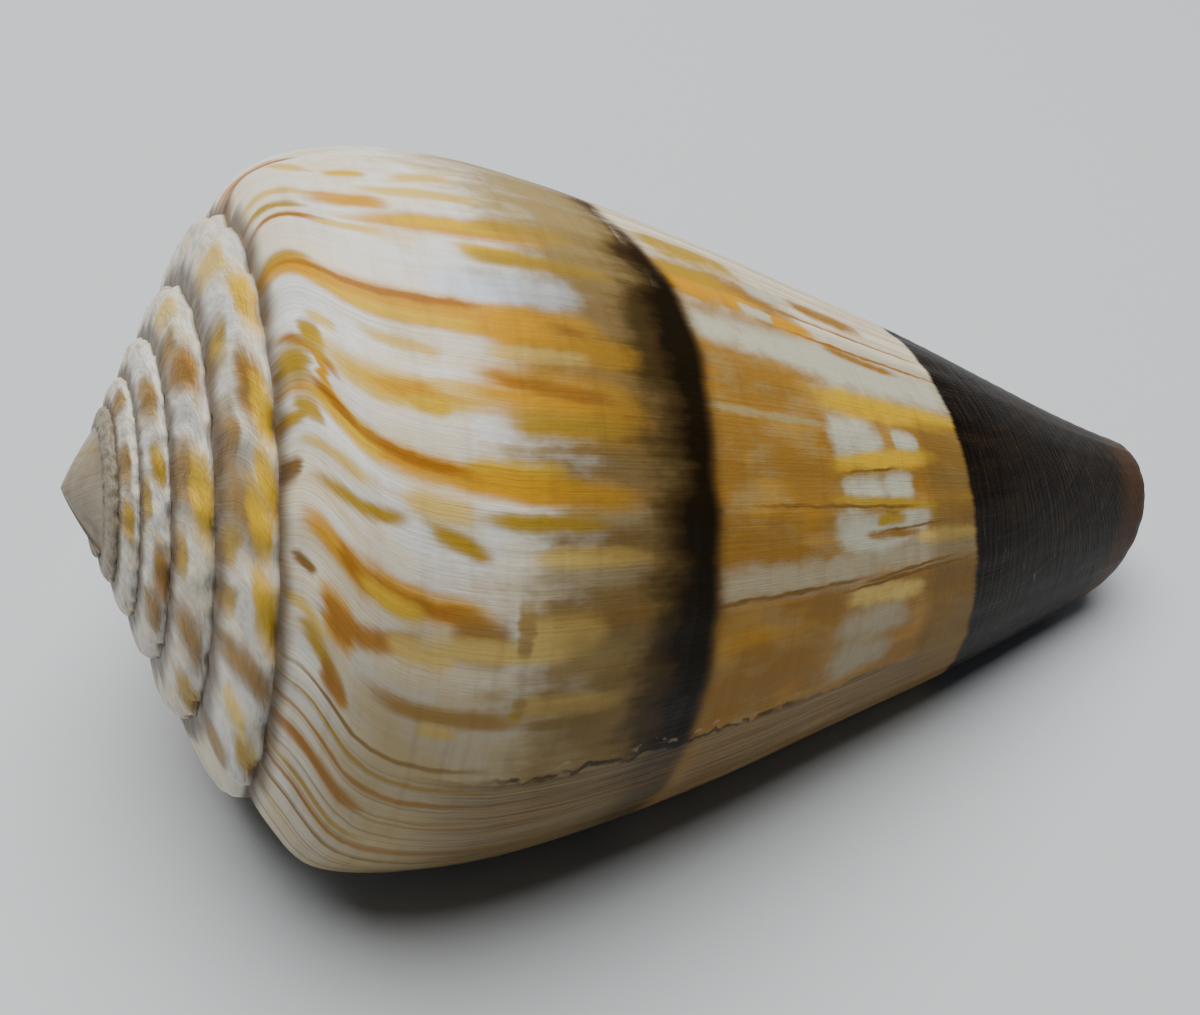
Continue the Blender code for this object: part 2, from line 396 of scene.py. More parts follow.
def add_faces(shell):
    for number in range(FIRST_COLUMN, 0):
        add_strip(shell, "out", number, range(LAST_ROW if number >= -STEPS else ATTACH))
    for number in range(CAVITY_COLUMN, 0):
        add_strip(shell, "back", number - STEPS, range(ROOF, LAST_ROW))
        add_strip(shell, "in", number, range(LAST_ROW))
    close_lip(shell)
    close_cavity(shell)
    close_canal(shell)
    shell.face(*[("out", -STEPS, row) for row in range(ATTACH, ROOF + 1)])
    close_column(shell)
    close_apex(shell)


def close_lip(shell):
    """The thin edge of the lip, from the outer to the inner face."""
    for row in range(LAST_ROW):
        shell.face(("out", 0, row), ("out", 0, row + 1), ("in", 0, row + 1), ("in", 0, row))


def close_cavity(shell):
    """The far end of the cavity."""
    far = CAVITY_COLUMN - STEPS
    for row in range(ROOF):
        shell.face(("back", far, ROOF), ("in", CAVITY_COLUMN, row), ("in", CAVITY_COLUMN, row + 1))
    for row in range(ROOF, LAST_ROW):
        shell.face(("back", far, row), ("in", CAVITY_COLUMN, row), ("in", CAVITY_COLUMN, row + 1),
                   ("back", far, row + 1))


def close_canal(shell):
    """The rim along the open canal."""
    for number in range(CANAL_COLUMN, 0):
        shell.face(("out", number, LAST_ROW), ("out", number + 1, LAST_ROW), ("in", number + 1, LAST_ROW),
                   ("in", number, LAST_ROW))
    shell.face(("in", CANAL_COLUMN, LAST_ROW), ("back", CANAL_COLUMN - STEPS, LAST_ROW),
               ("in", CANAL_COLUMN - 1, LAST_ROW))


def close_column(shell):
    """The rounded tip of the inner column."""
    ring = [("out", number, LAST_ROW) for number in range(-STEPS, CANAL_COLUMN + 1)]
    ring.append(("in", CANAL_COLUMN, LAST_ROW))
    ring += [("back", number, LAST_ROW) for number in range(CANAL_COLUMN - STEPS, -STEPS + 1)]
    shell.add(("tip", 0, 0), (-TURN, 0.0, BASE_DEPTH + TIP_ROUNDING))
    for here, there in zip(ring, ring[1:]):
        shell.face(here, there, ("tip", 0, 0))


def cap_place(x, y):
    """Growth and along values that spread the noise evenly over the worn apex."""
    return (column_angle(FIRST_COLUMN) + CAP_GROWTH * x, CAP_ALONG + CAP_SPREAD * y, 0.0)


def add_cap_row(shell, ring, row):
    """The ring drawn in towards the apex, along a rounded cone. Row 0 is the ring itself."""
    share = (1.0 - row / CAP_ROWS) / (1.0 - max(0, row - 1) / CAP_ROWS)
    keys = []
    for key in ring:
        x, y, z = shell.points[shell.index[key]]
        name = ("cap", row, shell.index[key])
        keys.append(name)
        if name in shell.index:
            continue
        shell.place[name] = cap_place(x * share, y * share)
        shell.index[name] = len(shell.points) if row else shell.index[key]
        if row:
            shell.points.append((x * share, y * share, z * share ** CAP_POWER))
    return keys


def close_apex(shell):
    """The worn apex: a low rounded cone inside the first turn."""
    edge = [("out", number, 0) for number in range(FIRST_COLUMN, FIRST_COLUMN + STEPS + 1)]
    edge += [("out", FIRST_COLUMN, row) for row in range(ATTACH, -1, -1)]
    ring = add_cap_row(shell, edge, 0)
    for row in range(1, CAP_ROWS):
        inner = add_cap_row(shell, ring, row)
        for i in range(len(ring) - 1):
            shell.face(ring[i], ring[i + 1], inner[i + 1], inner[i])
        ring = inner
    shell.add(("cap", 0, "apex"), (column_angle(FIRST_COLUMN), 0.0, 0.0))
    shell.place["cap", 0, "apex"] = cap_place(0.0, 0.0)
    for here, there in zip(ring, ring[1:]):
        shell.face(here, there, ("cap", 0, "apex"))


def resting_matrix():
    """From the shell's own frame in millimetres to the row frame in metres."""
    roll = Matrix.Rotation(math.radians(REST_ROLL), 4, "Z")
    lay_down = Matrix.Rotation(math.radians(-90.0 + REST_SLOPE), 4, "Y")
    return Matrix.Scale(MM, 4) @ Matrix.Translation(APEX_AT) @ lay_down @ roll


def make_shell():
    shell = ShellMesh()
    add_points(shell)
    add_faces(shell)
    mesh = bpy.data.meshes.new("cone_shell")
    mesh.from_pydata(shell.points, [], shell.faces)
    places = np.array(shell.corners)
    for number, name in enumerate(("growth", "along", "inner")):
        values = mesh.attributes.new(name, "FLOAT", "CORNER")
        values.data.foreach_set("value", places[:, number].copy())
    mesh.polygons.foreach_set("material_index", shell.zones)
    work = bmesh.new()
    work.from_mesh(mesh)
    bmesh.ops.delete(work, geom=[v for v in work.verts if not v.link_faces], context="VERTS")
    bmesh.ops.recalc_face_normals(work, faces=work.faces)
    work.to_mesh(mesh)
    work.free()
    mesh.transform(resting_matrix())
    mesh.shade_smooth()
    mesh.set_sharp_from_angle(angle=math.radians(SHARP_ANGLE))
    obj = bpy.data.objects.new("cone_shell", mesh)
    bpy.context.scene.collection.objects.link(obj)
    return obj


def linear(red, green, blue):
    """A colour given as 0 to 255 display values."""
    values = []
    for channel in (red, green, blue):
        share = channel / 255.0
        values.append(share / 12.92 if share <= 0.04045 else ((share + 0.055) / 1.055) ** 2.4)
    return (*values, 1.0)


class Nodes:
    """Short calls that build one node tree."""

    def __init__(self, tree):
        self.tree = tree

    def add(self, kind, **settings):
        node = self.tree.nodes.new(kind)
        for name, value in settings.items():
            setattr(node, name, value)
        return node

    def put(self, socket, value):
        if isinstance(value, bpy.types.NodeSocket):
            self.tree.links.new(value, socket)
        else:
            socket.default_value = value

    def math(self, operation, a, b=0.0, c=0.0):
        node = self.add("ShaderNodeMath", operation=operation)
        for socket, value in zip(node.inputs, (a, b, c)):
            self.put(socket, value)
        return node.outputs[0]

    def plus(self, value, *terms):
        """Value plus each term's value times its factor."""
        for term, factor in terms:
            value = self.math("MULTIPLY_ADD", term, factor, value)
        return value

    def past(self, value, start):
        """How far value lies past start."""
        return self.plus(value, (1.0, -start))

    def times(self, value, *others):
        for other in others:
            value = self.math("MULTIPLY", value, other)
        return value

    def attribute(self, name):
        return self.add("ShaderNodeAttribute", attribute_name=name).outputs["Fac"]

    def noise(self, across, along, shift=0.0, detail=2.0, roughness=0.55):
        """Noise whose grain is one unit of across by one unit of along, from -0.5 to 0.5. Each shift gives
        a pattern of its own."""
        place = self.add("ShaderNodeCombineXYZ")
        for socket, value in zip(place.inputs, (across, along, shift)):
            self.put(socket, value)
        node = self.add("ShaderNodeTexNoise")
        self.put(node.inputs["Vector"], place.outputs[0])
        self.put(node.inputs["Scale"], 1.0)
        self.put(node.inputs["Detail"], detail)
        self.put(node.inputs["Roughness"], roughness)
        return self.math("SUBTRACT", node.outputs["Fac"], 0.5)

    def step(self, value, low, high, first=0.0, last=1.0):
        """Goes smoothly from first to last as value goes from low to high."""
        if isinstance(low, (int, float)) and isinstance(high, (int, float)) and low > high:
            low, high, first, last = high, low, last, first
        node = self.add("ShaderNodeMapRange", interpolation_type="SMOOTHSTEP")
        self.put(node.inputs["Value"], value)
        self.put(node.inputs["From Min"], low)
        self.put(node.inputs["From Max"], high)
        self.put(node.inputs["To Min"], first)
        self.put(node.inputs["To Max"], last)
        return node.outputs[0]

    def between(self, value, low, high, soft):
        """1 between low and high, fading out over soft on each side."""
        rise = self.step(value, low - soft, low + soft)
        return self.times(rise, self.step(value, high + soft, high - soft))

    def mix(self, share, a, b):
        node = self.add("ShaderNodeMix", data_type="RGBA")
        self.put(node.inputs["Factor"], share)
        self.put(node.inputs["A"], a)
        self.put(node.inputs["B"], b)
        return node.outputs["Result"]


CREAM = linear(232, 221, 196)
MILK = linear(229, 228, 223)
YELLOW = linear(210, 168, 44)
STRAW = linear(216, 184, 104)
ORANGE = linear(198, 142, 30)
RUST = linear(158, 102, 30)
OLIVE = linear(170, 136, 42)
OCHRE = linear(148, 108, 46)
UMBER = linear(122, 90, 44)
SPIRE_BROWN = linear(146, 114, 62)
CHALK = linear(188, 185, 162)
DULL_CHALK = linear(166, 153, 124)
TAN = linear(112, 88, 44)
LATE_TAN = linear(158, 137, 92)
LATE_OLIVE = linear(158, 136, 84)
FAINT_OCHRE = linear(164, 134, 80)
SMOKE = linear(82, 64, 34)
FRINGE_BROWN = linear(54, 42, 21)
EDGE_BROWN = linear(80, 56, 28)
BLACK_BROWN = linear(28, 21, 11)
BASE_BROWN = linear(19, 11, 4)
BASE_LIGHT = linear(48, 33, 15)
RIM_BROWN = linear(62, 40, 18)
SCRATCH = linear(140, 132, 116)
STRIATED = linear(140, 122, 88)
STRIATED_DARK = linear(84, 66, 42)
CRACK = linear(36, 27, 18)
CHIP = linear(176, 162, 132)
# painted shade for the grooves between the turns
SUTURE_SHADE = linear(84, 64, 44)
WORN = linear(108, 88, 58)
WORN_GREY = linear(142, 131, 106)
PORCELAIN = linear(226, 227, 230)
BLUE_MILK = linear(206, 214, 222)
# painted shade over the spire's white
SHADED_WHITE = linear(172, 171, 164)

# Marks on the last turn's shoulder and side, painted in this order. Each gives its growth line at its
# start, how far the line has moved at its end, its start and end along, its half width in degrees and its
# colour.
BODY_MARKS = (
    (-147.0, -3.0, 9.0, 10.2, 1.0, RUST), (-146.5, 4.9, 11.3, 12.7, 0.8, STRAW),
    (-138.6, -1.8, 16.9, 20.3, 0.9, STRAW), (-139.5, 0.0, 13.2, 15.2, 0.8, YELLOW),
    (-152.0, 2.0, 9.2, 12.4, 0.9, RUST), (-156.0, 1.0, 9.2, 12.0, 0.8, ORANGE),
    (-130.5, 0.0, 12.0, 15.5, 0.8, ORANGE), (-133.0, 1.0, 9.4, 11.6, 0.6, STRAW),
    (-128.6, 1.0, 9.3, 11.4, 0.5, OLIVE), (-133.8, 0.0, 15.0, 21.0, 0.6, STRAW),
    (-123.8, 0.0, 9.25, 12.2, 0.45, RUST), (-123.4, 0.4, 11.8, 14.6, 0.4, STRAW),
    (-126.4, 0.0, 14.6, 24.0, 1.1, ORANGE), (-126.9, 0.0, 15.6, 22.0, 0.6, YELLOW),
    (-128.0, 0.0, 20.7, 26.2, 0.7, OLIVE), (-122.0, 0.7, 19.0, 22.4, 0.55, YELLOW),
    (-120.8, 0.0, 19.6, 27.5, 0.6, OLIVE), (-113.0, 1.0, 9.1, 11.0, 1.0, OLIVE),
    (-111.1, 0.2, 9.1, 19.4, 0.95, ORANGE), (-109.2, 0.3, 10.8, 19.6, 0.8, ORANGE),
    (-112.0, 0.2, 10.4, 18.6, 0.3, RUST), (-108.8, 0.3, 11.4, 19.0, 0.5, YELLOW),
    (-110.7, 0.0, 19.3, 25.4, 0.9, ORANGE), (-107.8, 1.5, 19.4, 28.4, 1.1, ORANGE),
    (-110.2, 1.0, 20.0, 24.6, 0.35, RUST),
    (-109.2, 0.0, 19.2, 23.0, 1.3, ORANGE), (-105.2, 0.0, 19.4, 24.5, 0.5, STRAW),
    (-102.2, 0.0, 10.6, 11.6, 0.5, STRAW), (-104.6, 0.5, 13.0, 16.2, 0.4, STRAW),
    (-97.7, 3.1, 9.4, 11.3, 0.5, RUST), (-94.6, 5.8, 10.6, 11.3, 1.0, ORANGE),
    (-98.2, 0.0, 10.2, 11.0, 1.2, OLIVE), (-93.5, 1.0, 9.1, 10.3, 1.6, OLIVE),
    (-97.0, -1.5, 11.3, 18.4, 1.0, YELLOW), (-97.6, -1.2, 13.4, 18.0, 0.5, ORANGE),
    (-96.5, 0.0, 14.6, 16.4, 0.6, YELLOW), (-99.2, 0.0, 16.0, 19.2, 0.6, STRAW),
    (-100.4, 2.7, 18.7, 27.4, 2.0, ORANGE), (-101.6, 2.0, 19.4, 25.4, 0.5, RUST),
    (-96.0, 0.5, 20.0, 26.0, 0.7, OLIVE),
    (-88.9, 1.6, 10.4, 22.6, 0.85, ORANGE), (-90.2, 2.4, 10.5, 13.0, 0.9, YELLOW),
    (-89.4, 1.6, 12.0, 21.0, 0.35, RUST), (-91.0, 1.5, 10.4, 12.0, 0.35, RUST),
    (-86.2, 0.0, 9.7, 10.6, 0.8, OLIVE), (-89.5, 0.0, 17.6, 22.0, 0.7, YELLOW),
    (-87.9, 1.6, 17.8, 26.4, 0.9, ORANGE), (-84.5, 0.0, 9.0, 9.9, 0.7, OLIVE),
    (-83.5, 0.0, 14.3, 17.2, 0.9, STRAW),
    (-83.2, 0.0, 18.3, 24.4, 0.55, OLIVE),
    (-77.0, -4.0, 10.5, 13.9, 0.55, OLIVE), (-81.4, -1.5, 10.0, 12.2, 0.4, STRAW),
    (-80.8, 2.1, 15.3, 18.1, 0.6, OLIVE), (-78.7, 0.0, 21.0, 27.0, 0.6, STRAW),
    (-77.0, 0.0, 9.1, 9.8, 0.85, UMBER), (-69.9, 0.4, 9.9, 12.5, 0.95, ORANGE),
    (-70.0, 0.3, 11.2, 12.6, 0.7, RUST), (-71.8, 1.3, 12.3, 18.0, 0.9, ORANGE),
    (-71.2, 0.9, 12.4, 17.8, 0.45, RUST), (-69.5, 0.0, 12.2, 14.7, 0.65, YELLOW),
    (-64.2, 1.4, 9.4, 10.2, 0.4, UMBER), (-57.8, 2.2, 9.1, 10.5, 0.55, STRAW),
    (-59.3, -1.6, 10.5, 11.7, 1.6, ORANGE), (-60.0, 0.0, 10.7, 11.5, 0.9, RUST),
    (-59.8, -5.8, 10.6, 14.4, 0.75, RUST), (-64.5, 0.0, 13.6, 16.5, 0.8, STRAW),
    (-67.8, 0.6, 16.6, 19.4, 1.5, OCHRE), (-66.2, 0.0, 15.8, 22.4, 0.7, STRAW),
    (-70.5, 0.0, 20.9, 28.4, 0.6, UMBER), (-68.5, 0.0, 20.2, 24.5, 1.2, STRAW),
    (-54.4, 3.9, 9.9, 11.7, 0.9, OLIVE), (-50.6, 0.0, 10.7, 11.7, 0.9, RUST),
    (-56.4, 0.2, 13.0, 20.0, 0.65, OCHRE), (-54.0, 0.0, 15.2, 17.0, 0.5, STRAW),
    (-55.3, 0.0, 21.4, 26.2, 0.45, UMBER), (-58.5, 0.6, 20.8, 26.0, 0.7, STRAW),
    (-70.2, 0.0, 19.8, 20.7, 1.3, FAINT_OCHRE),
    (-67.0, 0.0, 19.9, 20.6, 0.5, FAINT_OCHRE), (-59.2, 0.0, 19.9, 20.6, 0.3, FAINT_OCHRE),
    (-57.2, 0.0, 19.9, 20.6, 0.4, OLIVE),
    (-47.5, 0.0, 10.0, 18.0, 0.18, UMBER), (-44.0, 0.5, 9.6, 22.0, 0.22, OLIVE),
    (-40.0, 0.0, 9.4, 24.0, 0.25, RUST), (-35.2, 0.0, 9.3, 13.0, 0.7, RUST),
    (-28.0, 0.0, 9.5, 13.5, 0.4, OLIVE), (-25.0, 0.0, 9.2, 26.0, 0.28, RUST),
    (-21.0, 0.0, 9.2, 22.0, 0.25, UMBER))

# Whitish patches in the brown before the middle band
PALE_PATCHES = (
    (-115.2, 0.0, 17.4, 24.6, 1.9, BLUE_MILK), (-84.2, 0.0, 22.5, 27.5, 1.0, DULL_CHALK),
    (-76.4, 0.0, 21.5, 27.0, 1.1, DULL_CHALK), (-65.0, 0.0, 22.0, 28.0, 1.2, LATE_TAN))

# Marks on the turns of the spire
SPIRE_MARKS = (
    (-475.0, 0.0, 10.6, 12.0, 3.6, YELLOW), (-489.0, 2.0, 9.3, 10.8, 3.0, STRAW),
    (-464.0, -1.5, 9.0, 9.9, 2.4, OLIVE), (-455.0, 0.0, 10.2, 11.7, 3.0, OCHRE),
    (-452.5, 0.0, 10.9, 12.2, 2.4, YELLOW), (-444.0, 0.0, 9.0, 10.0, 3.0, SPIRE_BROWN),
    (-432.5, 1.5, 9.2, 11.0, 3.6, SPIRE_BROWN), (-439.5, 1.0, 10.9, 12.2, 2.6, YELLOW),
    (-431.5, 0.0, 10.3, 11.6, 2.2, YELLOW), (-418.5, 0.0, 10.7, 12.2, 3.0, YELLOW),
    (-423.0, 0.0, 9.0, 9.9, 1.8, OLIVE), (-401.5, -3.0, 9.1, 11.9, 1.8, SPIRE_BROWN),
    (-412.0, 0.0, 9.0, 9.8, 1.6, OLIVE), (-384.0, 0.0, 10.5, 12.1, 2.4, OLIVE),
    (-373.5, 0.0, 9.0, 10.4, 1.8, SPIRE_BROWN), (-390.0, 0.0, 9.6, 10.8, 1.6, STRAW),
    (-828.0, 0.0, 9.4, 11.6, 4.0, OCHRE), (-838.0, 0.0, 9.0, 10.2, 3.0, SPIRE_BROWN),
    (-797.5, 0.0, 9.0, 10.4, 4.6, SPIRE_BROWN), (-796.0, 0.0, 10.3, 12.0, 4.6, YELLOW),
    (-756.5, 0.0, 9.4, 11.4, 3.6, SPIRE_BROWN), (-776.0, 0.0, 9.0, 9.9, 3.0, OLIVE),
    (-735.0, 0.0, 10.0, 11.9, 3.0, OLIVE), (-858.0, 0.0, 9.4, 11.0, 3.0, STRAW),
    (-1190.0, 0.0, 9.4, 11.2, 5.0, SPIRE_BROWN), (-1165.0, 0.0, 10.0, 11.6, 3.6, OLIVE),
    (-1128.5, 0.0, 10.2, 12.0, 4.6, OCHRE), (-1110.0, 0.0, 9.6, 11.4, 4.2, SPIRE_BROWN),
    (-1150.0, 0.0, 9.0, 9.9, 4.0, OLIVE), (-1527.0, 0.0, 9.2, 10.8, 5.0, SPIRE_BROWN),
    (-1500.0, 0.0, 9.4, 11.2, 5.0, OLIVE), (-1568.0, 0.0, 9.0, 11.0, 5.0, SPIRE_BROWN))

# Marks between the middle band and the dark base
LOWER_MARKS = (
    (-116.4, 1.2, 32.6, 46.0, 2.4, CHALK), (-114.6, 0.5, 42.5, 58.0, 4.8, CHALK),
    (-125.5, 0.0, 32.8, 43.0, 4.4, OCHRE), (-124.3, 0.0, 33.0, 40.0, 1.9, ORANGE),
    (-136.0, 0.0, 33.0, 40.0, 2.6, OLIVE), (-131.0, 0.5, 45.0, 51.0, 1.6, OCHRE),
    (-121.6, 0.6, 41.2, 44.8, 1.3, ORANGE), (-122.3, 0.0, 38.6, 40.8, 0.9, CHALK),
    (-130.2, 0.0, 40.6, 43.4, 1.3, CHALK), (-128.5, 0.0, 33.0, 38.0, 1.2, OLIVE),
    (-118.5, 1.5, 46.0, 52.0, 0.8, OCHRE),
    (-100.7, 0.9, 32.6, 41.6, 0.5, LATE_TAN), (-72.9, 0.7, 32.6, 45.0, 1.9, DULL_CHALK),
    (-74.0, 0.0, 43.4, 56.8, 2.2, DULL_CHALK), (-98.2, 0.0, 43.0, 47.4, 3.0, CHALK),
    (-98.6, 0.0, 49.4, 51.6, 1.6, CHALK), (-87.5, 0.0, 43.6, 47.2, 1.9, CHALK),
    (-88.6, 0.0, 47.6, 50.2, 1.9, CHALK), (-80.2, 1.4, 42.6, 47.2, 2.4, CHALK),
    (-81.2, 0.0, 48.7, 51.7, 1.9, CHALK), (-78.8, 0.0, 43.4, 49.6, 1.8, CHALK),
    (-77.2, 0.0, 51.0, 56.8, 1.2, STRAW), (-105.5, 0.4, 43.6, 56.4, 1.9, YELLOW),
    (-92.4, -3.0, 43.4, 52.4, 1.3, YELLOW), (-85.7, 1.5, 43.0, 51.8, 0.8, OLIVE),
    (-78.6, 0.0, 45.8, 50.2, 0.7, OCHRE), (-81.6, 0.0, 46.4, 49.0, 0.8, OLIVE),
    (-66.5, 1.0, 44.2, 50.5, 1.6, STRAW), (-60.0, 0.5, 43.6, 49.5, 2.6, DULL_CHALK),
    (-52.0, 0.5, 43.4, 48.5, 2.6, DULL_CHALK), (-70.0, -0.3, 32.8, 44.0, 0.28, UMBER),
    (-68.3, -2.2, 44.2, 55.1, 0.28, UMBER), (-69.6, -2.2, 46.0, 54.0, 0.24, UMBER),
    (-91.0, -1.2, 43.8, 48.5, 0.22, UMBER), (-85.0, 0.8, 36.5, 49.0, 0.22, UMBER),
    (-79.0, -1.4, 46.8, 53.0, 0.22, UMBER), (-120.0, 1.0, 43.0, 56.0, 0.3, RUST),
    (-126.0, 1.0, 40.0, 56.0, 0.4, OCHRE))


# A mark's field is 1 at its centre and 0 at its outline; its share of the colour starts at the first of
# these, is full at the second, and is raised to the third
MARK_EDGE = -4.5
MARK_FULL = 1.1
MARK_FALLOFF = 2.5
WIDEN = 1.7                               # marks are this much wider than listed, for their soft edges
SPIRE_GRAIN = 0.3                         # the spire is small, so its patterns are wider in degrees

# Growth lines that the pattern turns at
SEEN_LINE = -88.0                         # faces the picture's camera
BULGE_LINE = -116.0                       # where the middle band bulges towards the base
BOW_LINE = -93.0                          # where the dark base reaches nearest to the band
SCAR_LINE = -45.6                         # mean line of the old break
RIM_LINE = -49.0                          # where the brown of the base's rim starts at RIM_FROM

# Depths along the shell that it turns at
BAND_LEFT = 29.3
BAND_RIGHT = 32.4
BASE_START = 56.8
RIM_FROM = 73.4
RIM_LATEST = 82.0                         # the brown of the rim starts no deeper than this
SCAR_SPAN = (17.0, 54.0)
CRACK_SPAN = (20.0, 41.0)
TIP_LINES_FROM, TIP_LINES_WIDTH = 58.0, 24.0
TIP_LINES_BEND = 62.0                     # degrees that the base's fine lines bend over that width

# Finish
GLOSS = {"spire": 0.2, "side": 0.07, "lower": 0.05, "inside": 0.4}
ROUGHNESS = 0.36
BUMP_DISTANCE = 0.00006
BUMP_STRENGTH = 0.7


def mark_group():
    """Paints one mark over a ground: long along the shell, narrow in growth, with ragged ends."""
    tree = bpy.data.node_groups.new("mark", "ShaderNodeTree")
    for name in ("Line", "Along", "Ragged", "Centre", "Lean", "Middle", "Half Length", "Half Width"):
        tree.interface.new_socket(name, in_out="INPUT", socket_type="NodeSocketFloat")
    for name in ("Ground", "Mark"):
        tree.interface.new_socket(name, in_out="INPUT", socket_type="NodeSocketColor")
    tree.interface.new_socket("Colour", in_out="OUTPUT", socket_type="NodeSocketColor")
    n = Nodes(tree)
    given = n.add("NodeGroupInput").outputs
    beyond = n.math("SUBTRACT", given["Along"], given["Middle"])
    from_end = n.math("DIVIDE", beyond, given["Half Length"])
    centre = n.math("MULTIPLY_ADD", beyond, given["Lean"], given["Centre"])
    aside = n.math("DIVIDE", n.math("SUBTRACT", given["Line"], centre), given["Half Width"])
    end_part = n.math("POWER", n.math("ABSOLUTE", from_end), 4.0)
    field = n.math("SUBTRACT", n.math("SUBTRACT", 1.0, end_part), n.math("MULTIPLY", aside, aside))
    ragged = n.math("ADD", field, given["Ragged"])
    share = n.math("POWER", n.step(ragged, MARK_EDGE, MARK_FULL), MARK_FALLOFF)
    result = n.add("NodeGroupOutput")
    n.put(result.inputs["Colour"], n.mix(share, given["Ground"], given["Mark"]))
    return tree


class Skin:
    """The shell's markings, worked out from the growth line and the depth along the shell."""

    def __init__(self, nodes, grain=1.0):
        n = nodes
        self.n = n
        self.raw_line = n.attribute("growth")
        self.raw_along = n.attribute("along")
        self.inner = n.attribute("inner")
        turned = n.times(self.raw_line, grain)
        waver = n.noise(n.times(turned, 0.45), n.times(self.raw_along, 0.7), 3.0)
        self.line = n.plus(self.raw_line, (waver, 1.1 / grain))
        self.streak = n.noise(n.times(turned, 0.5), n.times(self.raw_along, 0.05), 7.0, 2.0)
        self.fine = n.noise(n.times(turned, 1.9), n.times(self.raw_along, 0.10), 11.0, 2.0)
        self.along = n.plus(self.raw_along, (self.streak, 0.9), (self.fine, 0.15))
        self.ragged = n.times(n.noise(n.times(turned, 0.8), n.times(self.along, 0.22), 5.0, 3.0), 1.9)
        self.patchy = n.times(n.noise(n.times(turned, 0.28), n.times(self.along, 0.5), 9.0, 3.0, 0.55), 4.2)
        self.blotch = n.noise(n.times(self.raw_line, 0.10), n.times(self.raw_along, 0.16), 17.0)
        from_seen = n.times(n.past(self.raw_line, SEEN_LINE), math.radians(1.0))
        self.facing = n.math("COSINE", from_seen)
        self.clouds = n.noise(n.times(self.raw_line, 0.16), n.times(self.raw_along, 0.24), 19.0, 3.0, 0.6)
        beyond = n.math("MAXIMUM", n.past(self.raw_along, TIP_LINES_FROM), 0.0)
        bend = n.times(beyond, 1.0 / TIP_LINES_WIDTH)
        self.base_line = n.plus(self.raw_line, (n.times(bend, bend), TIP_LINES_BEND))
        self.spiral = n.noise(n.times(self.raw_line, 0.05), n.times(self.raw_along, 1.3), 13.0, 2.0)
        self.mark = mark_group()

    def paint(self, ground, marks, widen, edge_noise):
        """The marks over a ground, each in turn."""
        n = self.n
        for line, lean, start, end, half_width, colour in marks:
            node = n.add("ShaderNodeGroup", node_tree=self.mark)
            values = {"Line": self.line, "Along": self.along, "Ragged": edge_noise,
                      "Centre": line + lean / 2, "Lean": lean / (end - start),
                      "Middle": (start + end) / 2, "Half Length": (end - start) / 2,
                      "Half Width": half_width * widen, "Ground": ground, "Mark": colour}
            for name, value in values.items():
                n.put(node.inputs[name], value)
            ground = node.outputs["Colour"]
        return ground

    def ground(self):
        """Cream and milky white, warmer in clouds and tanned towards the lip, a tint that is partly painted
        shade.
        """
        n = self.n
        milky = n.step(n.plus(self.blotch, (self.fine, 0.10)), -0.14, 0.10)
        colour = n.mix(milky, CREAM, MILK)
        warm = n.step(n.plus(self.clouds, (self.streak, 0.5), (self.blotch, 0.5)), -0.08, 0.28, 0.0, 0.6)
        colour = n.mix(warm, colour, STRAW)
        return n.mix(self.late(0.6), colour, LATE_TAN)

    def late(self, most):
        """Share of the tan tint towards the lip: partly the shell's duller tone there, partly painted shade
        on the lower side near the lip.
        """
        n = self.n
        return n.times(n.step(self.raw_line, -84.0, -44.0), n.step(self.raw_along, 9.6, 14.0, 0.15, most))

    def hidden_flames(self, colour):
        """Flames on the far side and the far half of the spire, fading out where the listed marks are."""
        n = self.n
        wide = n.noise(n.times(self.line, 0.13), n.times(self.along, 0.045), 23.0, 3.0)
        narrow = n.noise(n.times(self.line, 0.5), n.times(self.along, 0.10), 29.0, 3.0)
        spread = n.plus(wide, (narrow, 0.6), (self.ragged, 0.05))
        share = n.times(n.step(spread, 0.06, 0.15), n.step(self.facing, 0.55, 0.2))
        tone = n.mix(n.step(narrow, -0.05, 0.12), YELLOW, ORANGE)
        tone = n.mix(n.step(self.ragged, 0.1, 0.4, 0.0, 0.6), tone, RUST)
        return n.mix(share, colour, tone)

    def crowded_lines(self, colour):
        """Thin brown growth lines close to the lip."""
        n = self.n
        thin = n.noise(n.times(self.line, 0.9), n.times(self.along, 0.02), 31.0, 3.0)
        share = n.times(n.step(thin, 0.02, 0.16), n.step(self.raw_line, -52.0, -38.0, 0.0, 0.55))
        return n.mix(share, colour, n.mix(n.step(self.fine, -0.1, 0.15), OCHRE, UMBER))

    def toward_band(self):
        """Depth with a cloudy edge, for the tints that deepen towards the middle band."""
        return self.n.plus(self.along, (self.streak, 2.6), (self.ragged, 1.6), (self.clouds, 9.0))

    def tanned(self, colour, reach, brown):
        """Brown ground before the middle band, which the flames run across."""
        colour = self.n.mix(self.n.step(reach, 17.5, 25.5, 0.0, 0.92), colour, brown)
        return self.paint(colour, PALE_PATCHES, 1.3, self.patchy)

    def smoked(self, colour, reach, high, brown):
        """Brown over the flames too, and smoke right before the middle band."""
        n = self.n
        colour = n.mix(n.step(reach, 17.5, 26.5, 0.0, 0.62), colour, brown)
        paler = n.plus(1.0, (high, -0.9))
        return n.mix(n.times(n.step(reach, 26.0, 30.5, 0.0, 0.8), paler), colour, SMOKE)

